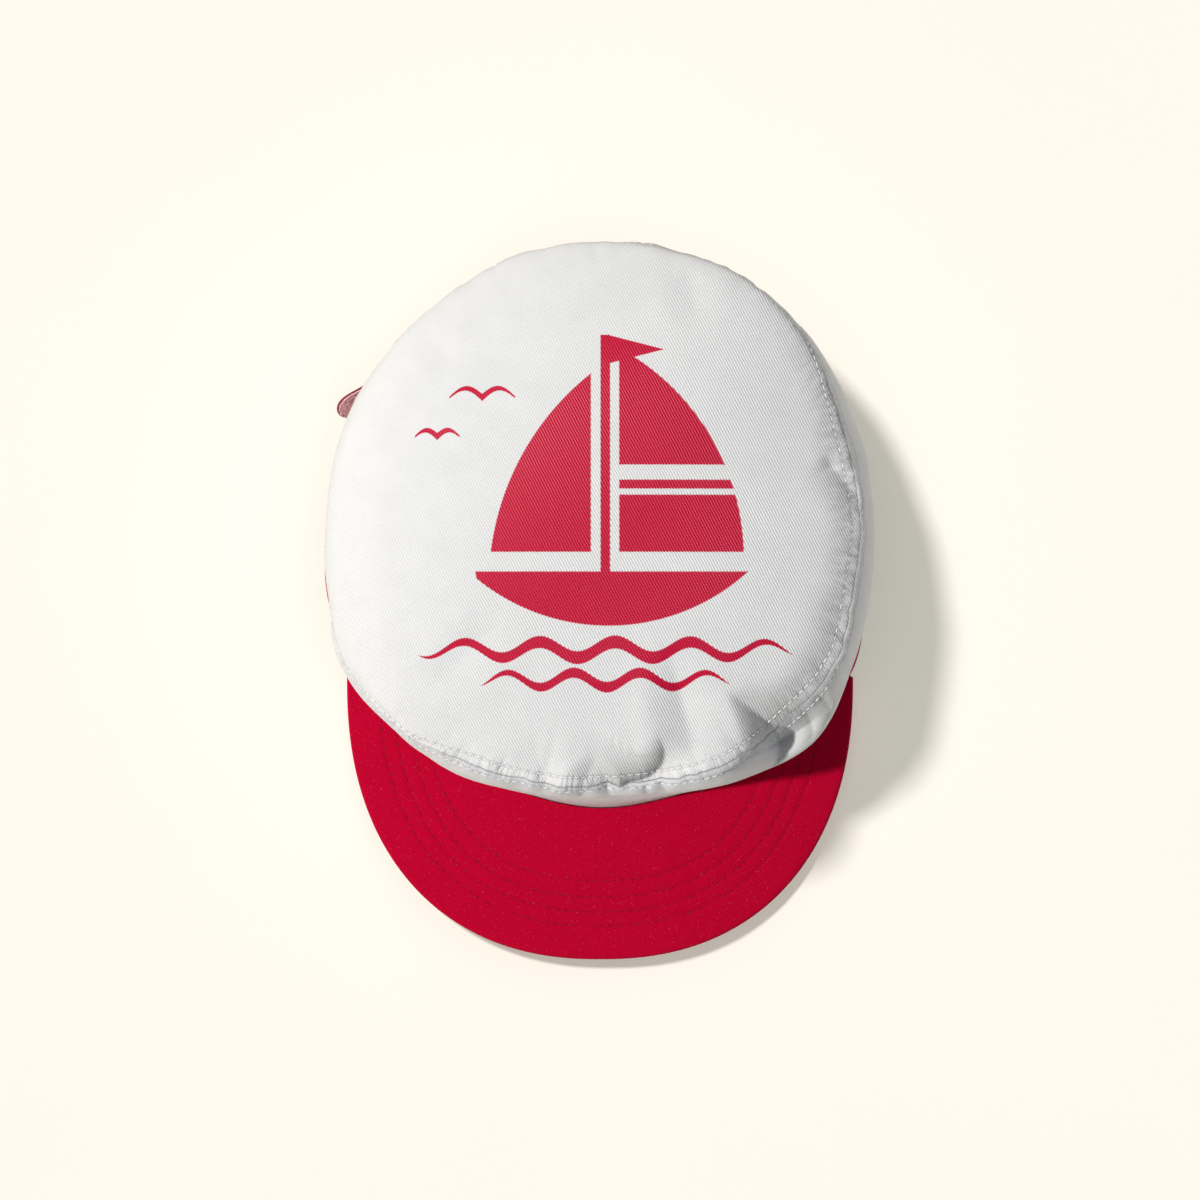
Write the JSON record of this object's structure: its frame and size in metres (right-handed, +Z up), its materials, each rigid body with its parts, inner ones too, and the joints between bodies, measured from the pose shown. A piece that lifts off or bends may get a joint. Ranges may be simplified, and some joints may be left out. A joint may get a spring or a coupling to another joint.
{
  "type": "painter cap",
  "caption": "Soft round cloth crown over a stiff arched peak, with a band round the sides and back and a hook-and-loop strap that sets its size.",
  "frame": {"origin": "on the floor, under the middle of the cap's outer extents", "axes": "-Y towards the peak's front edge, +Y towards the back, +X to the wearer's left, +Z up through the crown"},
  "size_m": [0.1928, 0.2486, 0.0932],
  "materials": {
    "crown_twill": "matte white cotton twill",
    "red_twill": "matte red cotton twill",
    "strap_cloth": "matte brushed loop cloth"
  },
  "bodies": {
    "root": {"crown_top": "crown_twill", "crown_side": "crown_twill", "band_right": "red_twill", "band_left": "red_twill", "peak": "red_twill", "adjuster_strap": "strap_cloth"}
  },
  "joints": []
}
